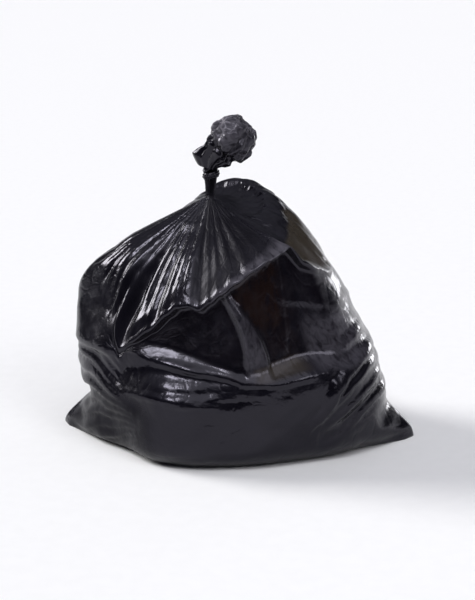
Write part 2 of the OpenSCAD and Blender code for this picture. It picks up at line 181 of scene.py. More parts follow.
# The body's grid: rows between each two rails from the floor to the neck's root, columns, and the neck's
# rows with the share of its height that they reach.
BODY_RAILS = (10, 12, 30, 32, 12, 42, 12, 30)
BODY_COLUMNS = 480
BASE_RAIL = 20.4
BODY_SEED = 11
BODY_FACET_SEED = 3
NECK_ROWS = 12
NECK_BLEND_ROWS = 5
NECK_TOP = 1.2

# The knot's strand: its grid, in degrees where it starts and how far it runs round the neck, and the number
# of grooves round it.
KNOT_GRID = (150, 56)
KNOT_START = 150
KNOT_SWEEP = 430
KNOT_GROOVES = 9

# The tuft: its grid, the lean at its end, the place of its rim between root 0 and mouth 1, its gathers, and
# its radius at places along it, as shares of the full radius and of the length.
TUFT_GRID = (129, 264)
TUFT_SEED = 5
TUFT_FACET_SEED = 8
TUFT_STEPS = 241
TUFT_LEAN = math.radians(41)
TUFT_RIM = 0.72
TUFT_GATHERS = 11
TUFT_FLARE = (
    (-0.2, 0.2), (0.0, 0.26), (0.07, 0.38), (0.17, 0.56), (0.29, 0.76), (0.42, 0.93), (0.55, 1.02),
    (0.68, 1.04), (0.8, 0.96), (0.9, 0.78), (0.97, 0.56),
)

# The stage, in metres. Each lamp has its azimuth and elevation in degrees, strength, width in degrees and
# colour. The camera has its azimuth, elevation and distance: it stands 9 degrees to the right of the front.
FLOOR_HALF = 60
LAMP_DISTANCE = 5
LAMPS = (
    ("key_lamp", 169, 29, 2.6, 25, (1.0, 0.99, 0.98)),
    ("fill_lamp", 285, 64, 0.55, 46, (0.97, 0.98, 1.0)),
    ("front_lamp", 244, 58, 0.75, 12, (0.98, 0.98, 1.0)),
    ("rim_lamp", 62, 4, 0.3, 12, (0.98, 0.98, 1.0)),
    ("edge_lamp", 320, 36, 0.5, 22, (0.98, 0.98, 1.0)),
)
CAMERA_PLACE = (-81, 15, 2.4)
CAMERA_TARGET = (0, 0, 0.235)
LENS = 84.7


def bump(x):
    """A soft hill, 1 at the middle and 0 from 1 outward."""
    k = np.minimum(np.abs(x), 1)
    return (1 - k * k) ** 2


def tent(x):
    """A hill with a sharp top."""
    return np.maximum(0, 1 - np.abs(x))


def roll(x):
    """A half round."""
    return np.sqrt(np.maximum(0, 1 - x * x))


def pleat(x):
    """Depth of pleats: 0 on a round ridge at each whole number, and 1 in a sharp valley half way between."""
    return 1 - np.abs(np.cos(np.pi * x))


def ease(x):
    """A soft rise from 0 to 1 while x goes from 0 to 1."""
    k = np.clip(x, 0, 1)
    return k * k * (3 - 2 * k)


def window(x, start, rise, end, fall):
    """1 between start and end and 0 outside, with a soft rise and fall of these lengths inside the ends."""
    return ease((x - start) / rise) * ease((end - x) / fall)


def turn(a):
    """The short way round, in degrees."""
    return a - 360 * np.round(a / 360)


def near(a, direction, half):
    """A soft hill round one direction, with its half width in degrees."""
    return bump(turn(a - direction) / half)


def facets(p, random, sets):
    """Heights of flat facets with crisp edges between them, as in film that has been creased."""
    total = 0
    for waves, length, depth in sets:
        out = 0
        for _ in range(waves):
            way = random.normal(size=3)
            way /= np.linalg.norm(way) * length * random.uniform(0.7, 1.5)
            k = np.mod(p @ way + random.uniform(), 1)
            out = out + np.abs(4 * k - 2) - 1
        total = total + out * depth / waves**0.5
    return total


def blend(a, b, k):
    return a + (b - a) * k


def cosd(a):
    return np.cos(np.radians(a))


def sind(a):
    return np.sin(np.radians(a))


def unit(v):
    return v / (np.linalg.norm(v, axis=-1, keepdims=True) + 1e-12)


def spread(field, rows, columns):
    """A closed grid of values drawn out to more rows and columns."""
    m, n = field.shape[:2]
    u = np.linspace(0, m - 1, rows)
    i = np.minimum(u.astype(int), m - 2)
    k = (u - i).reshape((-1,) + (1,) * (field.ndim - 1))
    tall = field[i] * (1 - k) + field[i + 1] * k
    v = np.arange(columns) * n / columns
    j = v.astype(int)
    k = (v - j).reshape((1, -1) + (1,) * (field.ndim - 2))
    return tall[:, j] * (1 - k) + tall[:, (j + 1) % n] * k


def mottle(random, rows, columns, cell_rows, cell_columns):
    """Smooth random values from -1 to 1 over a closed grid, from one value to each cell."""
    small = random.uniform(-1, 1, (max(3, cell_rows), max(4, cell_columns)))
    return spread(spread(small, max(3, cell_rows) * 4, max(4, cell_columns) * 4), rows, columns)


def face_normals(p):
    """Outward normals of a closed grid whose rows go up and columns go round."""
    up = np.gradient(p, axis=0)
    side = np.roll(p, -1, axis=1) - np.roll(p, 1, axis=1)
    return unit(np.cross(side, up))


class BodyShape:
    """The film over the fill, as a function of direction in degrees and height in mm."""

    def __init__(self, sizes):
        self.w = sizes.body_width / MM
        self.d = sizes.body_depth / MM
        self.h = sizes.body_height / MM
        self.neck = np.array([-sizes.neck_left, -sizes.neck_front]) / MM
        self.neck_r = sizes.neck_radius / MM
        self.neck_h = sizes.neck_height / MM
        self.gather_depth = sizes.gather_depth / MM
        self.hump_rise = sizes.hump_rise / MM
        self.ear_reach = sizes.corner_reach / MM
        self.gathers = sizes.gathers
        rows = [
            (s[0] * self.h, -s[1] * self.w, s[2] * self.w, -s[3] * self.d, s[4] * self.d)
            for s in SECTIONS
        ]
        x, y = self.neck
        r = self.neck_r
        rows.append((self.h, x - r, x + r, y - r, y + r))
        self.sections = np.array(rows)
        self.crown = CROWN_LEVEL * self.h
        self.waist = WAIST_LEVEL * self.h
        self.belly = BELLY_LEVEL * self.h
        s = self.sections
        low = np.vstack([s[:1], s[:-1]])
        high = np.vstack([s[1:], s[-1:]])
        self.rise = (high - low) / (high[:, :1] - low[:, :1])

    def reach(self, h, c):
        """A column of the sections at any height, on a smooth curve through them."""
        s = self.sections
        i = np.clip(np.searchsorted(s[:, 0], h, side="right") - 1, 0, len(s) - 2)
        run = s[i + 1, 0] - s[i, 0]
        k = (h - s[i, 0]) / run
        k2, k3 = k * k, k * k * k
        start = (2 * k3 - 3 * k2 + 1) * s[i, c] + (k3 - 2 * k2 + k) * run * self.rise[i, c]
        return start + (3 * k2 - 2 * k3) * s[i + 1, c] + (k3 - k2) * run * self.rise[i + 1, c]

    def middle(self, h):
        """Where the middle of the body lies at a height, as it leans over to the neck."""
        level = (h / self.h) ** 2
        return self.neck[0] * level, self.neck[1] * level

    def plain(self, a, h):
        """Reach of the smooth body from its middle."""
        m = self.middle(h)
        across = np.where(cosd(a) > 0, self.reach(h, 2) - m[0], m[0] - self.reach(h, 1))
        deep = np.where(sind(a) > 0, self.reach(h, 4) - m[1], m[1] - self.reach(h, 3))
        n = blend(2.35, 2, ease(h / self.h))
        return (np.abs(cosd(a) / across) ** n + np.abs(sind(a) / deep) ** n) ** (-1 / n)

    def lip(self, a):
        """Height of the line under the gathers."""
        line = np.array(LIP_LINE)
        i = np.clip(np.searchsorted(line[:, 0], a, side="right") - 1, 0, len(line) - 2)
        k = (a - line[i, 0]) / (line[i + 1, 0] - line[i, 0])
        return self.h * blend(line[i, 1], line[i + 1, 1], blend(k, ease(k), 0.5))

    def fold(self, a):
        """Height of the fold at the waist, where the flat face ends over the belly."""
        lift = sum(rise * near(a, at, half) for rise, at, half in WAIST_LIFTS)
        return np.minimum(self.lip(a) - 0.034 * self.h, self.waist + self.h * lift)

    def face_share(self, a):
        """Which directions lie on the box's side, with soft ends."""
        return window(a, LIP_POINT + 1, 12, 356, 30)

    def on_face(self, a, h):
        """Where the film is drawn flat over the face of the box, between the fold and the curtain."""
        return self.face_share(a) * window(h, self.fold(a), 12, self.lip(a), 12)

    def box_out(self, a, h):
        """How far the box holds the film out from the plain body, under the top edge and above it."""
        wall = BOX_LEVEL * self.h
        lip = self.lip(a)
        low = np.minimum(h, lip)
        out = np.maximum(0, self.plain(a, wall) - BOX_LEAN * (low - wall) - self.plain(a, low))
        out = out * ease((low - wall + 15) / 30)
        above = np.clip((h - lip) / (self.crown + 12 - lip), 0, 1)
        return out * (1 - above) ** 1.3 * window(a, LIP_POINT, 14, 360, 34)

    def corner_share(self, a):
        """How near a direction is to one of the two bottom corners."""
        return sum(tent(turn(a - corner) / CORNER_HALF) ** 1.7 for corner in CORNERS)

    def fills(self, a, h):
        """Where the load bulges or leaves the film slack."""
        u = h / self.h
        ear = CORNER_HEIGHT / self.h
        shelf = ease((0.37 + 0.035 * near(a, 240, 28) - u) / 0.125) * (0.75 + 0.25 * ease(u / 0.12))
        return (
            26 * near(a, 247, 40) * shelf
            + 7 * near(a, 285, 60) * shelf
            - 0.041 * self.d * near(a, 219, 22) * bump((u - 0.024) / 0.243)
            - 0.072 * self.d * near(a, 322, 46) * bump((u - 0.034) / 0.316)
            - 0.023 * self.w * near(a, 180, 34) * bump((u - ear - 0.034) / 0.083)
            - 9 * near(a, BOX_TOP_DIRECTION, 30) * bump((u - 0.95) / 0.045)
        )

    def filled(self, a, h):
        """Reach of the body over its fill, before the film is drawn flat anywhere."""
        return self.plain(a, h) + self.fills(a, h) + self.box_out(a, h)

    def flattened(self, a, h, m, r):
        """Reach of the body with the film drawn flat on the planes, and the bevel over the upright edge."""
        low, high = self.fold(a), self.lip(a)
        inside = self.face_share(a) * window(h, low - 5, 29, high - 6, 8)
        shares = {"face": inside, "above": ease((h - high) / 10), "all": 1.0}
        for where, az, lean, a0, level, depth, soft in PLANES:
            n = (cosd(az) * cosd(lean), sind(az) * cosd(lean), sind(lean))
            h0 = level * self.h
            m0 = self.middle(h0)
            at = self.filled(a0, h0) - depth
            reach = n[0] * (m0[0] + at * cosd(a0)) + n[1] * (m0[1] + at * sind(a0)) + n[2] * h0
            facing = np.maximum(n[0] * cosd(a) + n[1] * sind(a), 0.05)
            over = r - (reach - n[0] * m[0] - n[1] * m[1] - n[2] * h) / facing
            over = np.minimum((over + np.sqrt(over * over + soft * soft)) / 2, 26)
            r = r - shares[where] * over * ease((facing - 0.3) / 0.25)
        edge, half = self.box_edge(h)
        strip = np.clip((half + 2.4 - np.abs(turn(a - edge))) / 2.4, 0, 1)
        seam = 2 * tent(turn(a - self.seam(h)) / 2.5) * ease((h - 170) / 30)
        return r + inside * ((5 + 4 * bump((h - 218) / 75)) * strip + seam - 3)

    def box_edge(self, h):
        """Direction and half width, in degrees, of the bevel that the film makes over the upright edge."""
        up = np.clip((h / self.h - 0.442) / 0.238, 0, 1)
        return 280 + 12 * (1 - up * up), 1 + 4 * (1 - up)

    def seam(self, h):
        """Direction of the thin upright line at the right of the box's brown side."""
        return SEAM_DIRECTION + SEAM_LEAN * h

    def taut(self, a, h, r):
        """The reach with the film drawn straight from the low point of the curtain to the neck."""
        lip = self.lip(a)
        k = np.clip((h - lip) / (self.crown - lip), 0, 1)
        ends = [self.filled(a, at) for at in (lip, self.crown + 0 * a)]
        straight = blend(ends[0], ends[1], k) + 7 * np.sin(np.pi * k)
        share = 0.75 * window(a, 194, 34, 266, 26) * (h > lip) * (h < self.crown)
        return r - share * np.maximum(0, r - straight)

    def flat_wall(self, a, h):
        """Where the film is drawn flat at the left."""
        return near(a, LEFT_WALL_DIRECTION, 24) ** 0.5 * window(h, 180, 20, 285, 25)

    def top_plane(self, a, h):
        """Where the film is drawn flat over the top of the box at the right."""
        return near(a, BOX_TOP_DIRECTION, 36) ** 0.5 * window(h, self.lip(a), 10, 0.93 * self.h, 12)

    def lip_ridge(self, a, h):
        """The edge over the face: a bevelled hem that stands out, with a sharp step under it."""
        t = h - self.lip(a)
        hem = np.interp(t, (-7, -4, 0, 4, 8, 60), (0, 4.5, 7, 7.5, 6, 0))
        hem = hem * (0.3 + 0.7 * ease((a - 260) / 14)) * window(a, 216, 6, 328, 8)
        return hem + 1.5 * window(a, 318, 8, 372, 20) * tent(np.where(t > 0, t / 50, t / 8))

    def lip_sag(self, a, h):
        """How far the edge of the curtain hangs down over the face."""
        u = (h - self.lip(a)) / self.h
        return 5 * window(a, 218, 6, 324, 6) * bump(np.where(u > 0, u / 0.07, u / 0.03))

    def creases(self, a, h):
        """The soft hollows and the rolled folds, with the slack film at the lower left."""
        out = 0
        for a0, h0, a1, h1, wide, deep in HOLLOWS:
            k = np.clip((a - a0) / (a1 - a0), 0, 1)
            across = bump((h / self.h - blend(h0, h1, k)) / wide)
            out = out - HOLLOW_DEPTH * deep * np.sin(np.pi * k) ** 0.6 * across
        for wide, high, line in FOLDS:
            places, levels = np.array(line).T
            levels = levels * self.h
            places = places[0] + np.mod(places - places[0], 360)
            for b in (a, a + 360):
                k = np.clip((b - places[0]) / (places[-1] - places[0]), 0, 1)
                rise = np.interp(b + 1, places, levels) - np.interp(b - 1, places, levels)
                off = (h - np.interp(b, places, levels)) / (wide * np.sqrt(1 + (rise / 7) ** 2))
                out = out + high * np.sin(np.pi * k) ** 0.7 * roll(np.where(off > 0, off * 0.6, off * 1.3))
        return out + self.drape(a, h)

    def drape(self, a, h):
        """Folds of slack film at the lower left: each leans back and ends in a short step under it."""
        size = np.maximum(248 - a, 4) / 46
        phase = (h - 74) / (25 * size) + 0.25 * sind(6 * a + 40) + 0.12 * sind(17 * a)
        tooth = np.mod(phase, 1)
        tooth = np.where(tooth < 0.3, tooth / 0.3, (1 - tooth) / 0.7) - 0.5
        high = 4.2 * size * (0.8 + 0.3 * sind(200 * np.floor(phase) + 3 * a))
        share = window(a, 184, 14, 244, 14) * window(h, 6, 14, 178, 22)
        lean = 3.8 * np.clip((206 - h) / 32, -1, 1)
        return high * tooth * share + lean * window(a, 180, 12, 224, 10) * window(h, 166, 10, 318, 80)

    def floor_roll(self, a, h):
        """How far the film rolls in at the floor, but not at the two corners."""
        k = np.clip(1 - h / BASE_ROUND, 0, 1)
        return BASE_ROUND * (1 - np.sqrt(1 - k * k)) * (1 - np.minimum(1, 1.4 * self.corner_share(a)))

    def gather_share(self, a, h):
        """How strong the gathers are: they start at the line under them and grow to the neck."""
        start = self.h * (0.03 + 0.1 * near(a, 208, 18))
        k = (h - self.lip(a) + start) / (self.h - self.lip(a) + start)
        plain = 1 - 0.95 * near(a, BOX_TOP_DIRECTION, 50) * ease((0.91 * self.h - h) / 16)
        plain = plain * (1 - 0.4 * near(a, 40, 70))
        curtain = window(a, 254, 10, 330, 20) * ease((self.lip(a) + 85 - h) / 70)
        return ease(k * 2.6) * (0.45 + 0.55 * bump((k - 0.45) / 0.9)) * plain * (1 - 0.6 * curtain)

    def gather_cut(self, u, a, h, r):
        """Depth of the gathers, for places round the film with their directions, heights and reach."""
        phase = (u - 2.7) * self.gathers / 360
        wander = 0.13 * sind(7 * u + 50) + 0.06 * sind(h * 2.4 + 5 * u)
        valley, fine = pleat(phase + wander), pleat(2.0 * phase + 0.3 + 2 * wander)
        right = near(a, 276, 58)
        left = near(a, 220, 42)
        deep = self.gather_depth * (0.6 + 0.12 * sind(a * 5 + 40) * sind(a * 2) - 0.47 * right - 0.1 * left)
        deep = np.minimum(deep * (0.15 + 0.85 * np.minimum(1, r / 190)), 0.3 * r)
        high = ease((h - 0.84 * self.h) / (0.16 * self.h))
        flank = 3.6 * near(a, 215, 13) * window(h, 215, 40, self.crown, 40)
        small = flank * pleat((a - 0.02 * h) / 5.2)
        return deep * self.gather_share(a, h) * (valley + (0.12 + 0.3 * high + 0.4 * left) * fine) + small

    def hump(self, a, h):
        """Rise of the hump of film behind the neck, with the loop that stands over it."""
        top = blend(self.crown, self.h, 0.1)
        low = 0.675 * self.h
        along = (h - top) / np.where(h > top, self.h - top, top - low)
        u, far = h / self.h, a + np.where(a < 180, 360, 0)
        loop = 5 * roll((u - 0.925) / 0.02) - 9 * bump((u - 0.963) / 0.03)
        hump = self.hump_rise * near(a, HUMP_DIRECTION, 80) * bump(along)
        return hump + loop * window(far, 338, 20, 485, 40)

    def direction(self, u):
        """Direction of a column, from its place round the film. Gathers are closer at the front left."""
        return u + 9 * (sind(u - 35) + sind(35)) + 2 * (sind(3 * u + 20) - sind(20))

    def point(self, u, h):
        """Points of the film in mm, for places round it in degrees and heights of the same form."""
        a = np.mod(self.direction(u), 360)
        m = self.middle(h)
        r = self.taut(a, h, self.filled(a, h))
        r = self.flattened(a, h, m, r) + self.ear_reach * bump(h / CORNER_HEIGHT) * self.corner_share(a)
        r = r + self.lip_ridge(a, h) + self.creases(a, h) - self.floor_roll(a, h)
        r = r - self.gather_cut(u, a, h, r)
        up = h + self.hump(a, h) - self.lip_sag(a, h)
        return np.stack([m[0] + r * cosd(a), m[1] + r * sind(a), up], axis=-1)

    def neck_point(self, u, k):
        """Points of the neck in mm, for places round the film and shares k of the neck's height."""
        a = self.direction(u) + 14 * k
        valley = pleat(u * self.gathers / 360)
        r = self.neck_r * (1 - 0.14 * np.sin(np.pi * np.minimum(k, 1))) - 0.26 * self.neck_r * valley
        flare = 1 + 0.35 * ease(1 - 4 * k)
        x, y = self.neck
        up = self.h + k * self.neck_h + 0 * a
        return np.stack([x + r * flare * cosd(a), y + r * flare * sind(a), up], axis=-1)

    def heights(self, u, rows):
        """Heights of the rings in each column, which keep to the folds of the film."""
        a = np.mod(self.direction(u), 360)
        lip, fold = self.lip(a), self.fold(a)
        flat = np.ones_like(a)
        over = blend(lip, self.crown, 0.72)
        level = (0, BASE_RAIL, self.belly, fold, lip - 13, lip + 8, over, self.crown, self.h)
        rails = np.stack([rail * flat for rail in level])
        stops = np.concatenate([[0], np.cumsum(BODY_RAILS)])
        s = np.linspace(0, stops[-1], rows)
        i = np.clip(np.searchsorted(stops, s, side="right") - 1, 0, len(stops) - 2)
        k = ((s - stops[i]) / (stops[i + 1] - stops[i]))[:, None]
        return rails[i] * (1 - k) + rails[i + 1] * k

    def grid(self, rows, columns):
        """Places round the film, then directions and heights of all points of a grid."""
        u = np.arange(columns) * 360 / columns
        h = self.heights(u, rows)
        return u, np.broadcast_to(np.mod(self.direction(u), 360), h.shape), h

    def creased(self, rows, columns):
        """Points of the body with the flat facets that creased film has between its folds."""
        u, a, h = self.grid(rows, columns)
        p = self.point(np.broadcast_to(u, h.shape), h)
        free = ease(h / 40) * (1 - ease((h - 0.8 * self.h) / 60)) * (1 - 0.6 * self.on_face(a, h))
        free = free * (1 - 0.8 * self.flat_wall(a, h)) * (1 - 0.7 * self.top_plane(a, h))
        random = np.random.RandomState(BODY_FACET_SEED)
        out = facets(p, random, BODY_FACETS)
        loose = near(a, 334, 24) * bump((h - 215) / 95)
        out = out * (1 - loose) + loose * facets(p, random, SIDE_FACETS)
        heaped = near(a, 45, 95) * bump((h / self.h - 0.945) / 0.06) * facets(p, random, HUMP_FACETS)
        return p + (out * free + heaped)[..., None] * face_normals(p)

    def slack(self, rows, columns):
        """Shares of slack round and up, then how far in mm the film may lie inside and outside its rest."""
        _, a, h = self.grid(rows, columns)
        lip, fold = self.lip(a), self.fold(a)
        slope = ease((h - lip + 10) / 40)
        neck = ease((h - 0.88 * self.h) / (0.1 * self.h))
        face = self.on_face(a, h)
        low = 1 - ease((h - fold) / 30)
        sides = low * np.minimum(1, sum(near(a, at, half) for at, half in SLACK_SIDES))
        waist = low * bump((h - 130) / 50)
        front = 1 - 0.7 * near(a, 290, 48)
        extra_round = 0.005 + 0.03 * slope * (1 - neck) * front + 0.015 * sides - 0.009 * face
        extra_up = 0.005 + 0.008 * slope * (1 - neck) + 0.022 * sides + 0.02 * waist - 0.009 * face
        inward = 1.5 + 6 * slope + 3 * sides - 0.7 * face
        outward = 3.0 + 4 * slope + 2.5 * sides + 2 * waist - 2.0 * face
        wall = np.maximum(self.flat_wall(a, h), self.top_plane(a, h))
        extra_round, extra_up = extra_round * (1 - 1.1 * wall), extra_up * (1 - 1.1 * wall)
        inward, outward = blend(inward, 0.6, wall), blend(outward, 1.2, wall)
        fade = 1 - neck
        floor_fade = ease(h / 25)
        return (
            extra_round * floor_fade * fade,
            extra_up * floor_fade * fade,
            np.maximum(inward * fade, 0.02),
            np.maximum(outward * fade * np.maximum(floor_fade, 0.15), 0.02),
        )

    def tints(self, a, h):
        """Shares of brown, of the box's colour painted lighter as if lit, of streaks and of painted sheen,
        then how calm, how soft and how dull the film is.
        """
        u = h / self.h
        lip, fold = self.lip(a) / self.h, self.fold(a) / self.h
        under = ease((lip - 0.01 - u) / 0.02)
        above = ease((u - fold) / 0.02)
        edge, half = self.box_edge(h)
        upper = window(a, edge + half + 1, 3, self.seam(h), 4) * ease((u - 0.53) / 0.06)
        lower = window(a, edge + half + 2, 4, 320, 8)
        brown = under * above * (0.12 * ease((a - LIP_POINT) / 6) + 0.88 * upper + 0.3 * lower)
        brown = brown * ease((350 - a) / 20)
        # The box's colour seen through the film, painted lighter as if lit: painted light on the plane over
        # the box's top and at the foot of its face.
        far = a + np.where(a < 180, 360, 0)
        top = 0.845 + 0.07 * ease((far - 318) / 54)
        plane = window(far, 319, 4, 386, 10) * window(u, lip, 0.012, top, 0.015)
        foot = window(a, 288, 4, 320, 8) * above * ease((fold + 0.062 - u) / 0.015)
        painted_lit_box_share = np.maximum(plane, 0.8 * foot)
        streaks = ease((u - lip + 0.02) / 0.05) * (1 - plane)
        # Painted sheen: the grey patch at the right, the bevel over the upright edge and the hem take a pale
        # colour that stands in for reflections, with a painted highlight along the hem.
        grey = window(a, 318, 6, 356, 10) * window(h, 150, 15, 252, 25)
        strip = np.clip((half + 2 - np.abs(turn(a - edge))) / 2, 0, 1) * under * above
        hem = 0.74 * bump((h - self.lip(a) - 2) / 7) * window(a, 262, 20, 324, 4)
        pale = np.maximum(np.maximum(0.5 * grey * under, 0.35 * strip), hem)
        face = self.face_share(a) * under * above
        calm = np.maximum(np.maximum(face * (1 - 0.5 * ease((a - 296) / 10)), plane), self.flat_wall(a, h))
        calm = np.maximum(calm, 0.85 * window(a, 182, 8, 250, 12) * ease((135 - h) / 40))
        soft = window(a, 254, 10, 322, 12) * ease((h - self.lip(a) - 4) / 12)
        scuffed = window(a, 180, 8, 250, 20) * ease((135 - h) / 45)
        dull = np.maximum(0.75 * soft, 0.95 * scuffed)
        soft = np.maximum(soft, 0.5 * scuffed)
        return np.stack([brown, painted_lit_box_share, streaks, pale], axis=-1), calm, soft, dull


def pull(p, a, b, rest, give):
    """Moves the two ends of each thread half way to its own length. a and b are index pairs."""
    d = p[b] - p[a]
    length = np.sqrt((d * d).sum(-1, keepdims=True)) + 1e-9
    d *= give * 0.5 * (length - rest) / length
    p[a] += d
    p[b] -= d


def bend(off):
    """How far the neighbours of each point of a closed grid lie from it, summed both ways."""
    out = np.roll(off, 1, 1) + np.roll(off, -1, 1) - 2 * off
    out[1:-1] += off[2:] + off[:-2] - 2 * off[1:-1]
    return out


class FilmGrid:
    """Film as a closed grid of threads that hardly stretch, resting on the fill."""

    def __init__(self, rest, extra_round, extra_up, inward, outward):
        self.rest = rest
        self.normal = face_normals(rest)
        self.inward, self.outward = inward, outward
        m, n = rest.shape[:2]
        rows, cols = np.arange(m), np.arange(n)
        pairs = [rows[0:-1:2], rows[1:-1:2]]
        mean = (extra_round + extra_up) / 2
        self.threads = []
        self.family(0, 1, [rows[1:-1]], [cols[0::2], cols[1::2]], extra_round)
        self.family(1, 0, pairs, [cols], extra_up)
        self.family(1, 1, pairs, [cols], mean)
        self.family(1, -1, pairs, [cols], mean)

    def family(self, di, dj, row_groups, col_groups, extra):
        """Adds the threads that run di rows up and dj columns round, in groups that share no point."""
        for rr in row_groups:
            for cc in col_groups:
                a = tuple(np.meshgrid(rr, cc, indexing="ij"))
                b = (a[0] + di, (a[1] + dj) % self.rest.shape[1])
                length = np.linalg.norm(self.rest[b] - self.rest[a], axis=-1, keepdims=True)
                self.threads.append((a, b, length * (1 + extra[a][..., None])))

    def settle(self, off, rounds, floor):
        """Lets the film find its folds from the given offset. Returns the new offset in mm."""
        p = self.rest + off
        before = p.copy()
        for _ in range(rounds):
            p, before = p + MOMENTUM * (p - before), p
            for a, b, rest in self.threads:
                pull(p, a, b, rest, THREAD_GIVE)
            off = p - self.rest
            off = off - STIFFNESS * bend(bend(off))
            off *= 1 - HOLD
            off = self.keep_to_fill(off)
            off[0] = 0
            off[-1] = 0
            p = self.rest + off
            if floor:
                p[..., 2] = np.maximum(p[..., 2], 0)
        return p - self.rest

    def keep_to_fill(self, off):
        """Holds each point near the fill, and lets it slide along the fill only a little."""
        out = (off * self.normal).sum(-1)
        held = np.clip(out, -self.inward, self.outward)
        along = off - out[..., None] * self.normal
        far = np.linalg.norm(along, axis=-1, keepdims=True)
        along *= np.minimum(1, SLIDE / (far + 1e-9))
        return along + held[..., None] * self.normal


def crumple(shape_at, slack_at, rows, columns, seed, passes, floor):
    """Settles film from coarse to fine grids. shape_at and slack_at give its rest and its slack on a grid."""
    random = np.random.RandomState(seed)
    off = None
    for step, rounds, noise in passes:
        m, n = (rows - 1) // step + 1, columns // step
        rest = shape_at(m, n)
        grid = FilmGrid(rest, *slack_at(m, n))
        off = np.zeros_like(rest) if off is None else spread(off, m, n)
        jitter = mottle(random, m, n, m // 3, n // 3)
        off = off + (noise * jitter)[..., None] * grid.normal
        off = grid.settle(off, rounds, floor)
    return rest + off


def film_piece(name, rings, low, high, extra):
    """A closed skin over rings of points in mm, with a point at each end, as a Blender object in metres."""
    m, n = rings.shape[:2]
    points = np.vstack([rings.reshape(-1, 3), [low], [high]]) * MM
    i, j = np.meshgrid(np.arange(m - 1), np.arange(n), indexing="ij")
    q = (j + 1) % n
    quads = np.stack([i * n + j, i * n + q, (i + 1) * n + q, (i + 1) * n + j], axis=-1).reshape(-1, 4)
    j = np.arange(n)
    q = (j + 1) % n
    top = (m - 1) * n
    fan_low = np.stack([np.full(n, m * n), q, j], axis=-1)
    fan_high = np.stack([np.full(n, m * n + 1), top + j, top + q], axis=-1)
    faces = quads.tolist() + fan_low.tolist() + fan_high.tolist()
    mesh = bpy.data.meshes.new(name)
    mesh.from_pydata(points.tolist(), [], faces)
    mesh.polygons.foreach_set("use_smooth", np.ones(len(faces), bool))
    for label, (kind, values) in extra.items():
        values = values.reshape(m * n, -1)
        values = np.vstack([values, values[:1], values[-1:]]).astype(np.float32)
        layer = mesh.attributes.new(label, kind, "POINT")
        field = {"FLOAT_COLOR": "color", "FLOAT_VECTOR": "vector", "FLOAT": "value"}[kind]
        layer.data.foreach_set(field, values.ravel())
    mesh.update()
    piece = bpy.data.objects.new(name, mesh)
    piece.data.materials.append(bpy.data.materials["black_film"])
    bpy.context.collection.objects.link(piece)
    return piece


class Wire:
    """A node's output that can be reckoned with as a number."""

    def __init__(self, board, socket):
        self.board, self.socket = board, socket

    def math(self, operation, *values):
        return self.board.node("ShaderNodeMath", {"operation": operation}, dict(enumerate(values)))

    def __add__(self, other):
        return self.math("ADD", self, other)

    def __radd__(self, other):
        return self.math("ADD", other, self)

    def __sub__(self, other):
        return self.math("SUBTRACT", self, other)

    def __rsub__(self, other):
        return self.math("SUBTRACT", other, self)

    def __mul__(self, other):
        return self.math("MULTIPLY", self, other)

    def __rmul__(self, other):
        return self.math("MULTIPLY", other, self)


class Board:
    """The nodes of one material or world."""

    def __init__(self, tree):
        self.tree = tree
        tree.nodes.clear()

    def node(self, kind, settings=None, inputs=None, output=0):
        """Adds a node with its settings and the values or links of its sockets."""
        made = self.tree.nodes.new(kind)
        for key, value in (settings or {}).items():
            setattr(made, key, value)
        for key, value in (inputs or {}).items():
            if isinstance(value, Wire):
                self.tree.links.new(value.socket, made.inputs[key])
            else:
                made.inputs[key].default_value = value
        return Wire(self, made.outputs[output]) if len(made.outputs) else None

    def beside(self, wire, output):
        """Another output of the node that a wire comes from."""
        return Wire(self, wire.socket.node.outputs[output])

    def attribute(self, name, output):
        return self.node("ShaderNodeAttribute", {"attribute_name": name}, {}, output)

    def mix(self, share, a, b):
        """Colour a, or b where share is 1."""
        colours = {0: share, 6: a, 7: b}
        return self.node("ShaderNodeMix", {"data_type": "RGBA"}, colours, 2)

    def vector_math(self, operation, a, b):
        return self.node("ShaderNodeVectorMath", {"operation": operation}, {0: a, 1: b})

    def scaled(self, vector, x, y, z):
        return self.vector_math("MULTIPLY", vector, (x, y, z))

    def smooth(self, value, low, high):
        ends = {"Value": value, "From Min": low, "From Max": high}
        return self.node("ShaderNodeMapRange", {"interpolation_type": "SMOOTHSTEP"}, ends)

    def noise(self, vector, scale, detail=2.0, rough=0.5, warp=0.0, output=0):
        inputs = {"Vector": vector, "Scale": scale, "Detail": detail, "Roughness": rough, "Distortion": warp}
        return self.node("ShaderNodeTexNoise", {}, inputs, output)

    def cells(self, vector, scale, feature="DISTANCE_TO_EDGE"):
        return self.node("ShaderNodeTexVoronoi", {"feature": feature}, {"Vector": vector, "Scale": scale})

    def bumped(self, height, distance, normal=None, strength=1.0):
        inputs = {"Height": height, "Distance": distance, "Strength": strength}
        if normal is not None:
            inputs["Normal"] = normal
        return self.node("ShaderNodeBump", {}, inputs)


def rgba(colour):
    return (*colour[:3], 1)


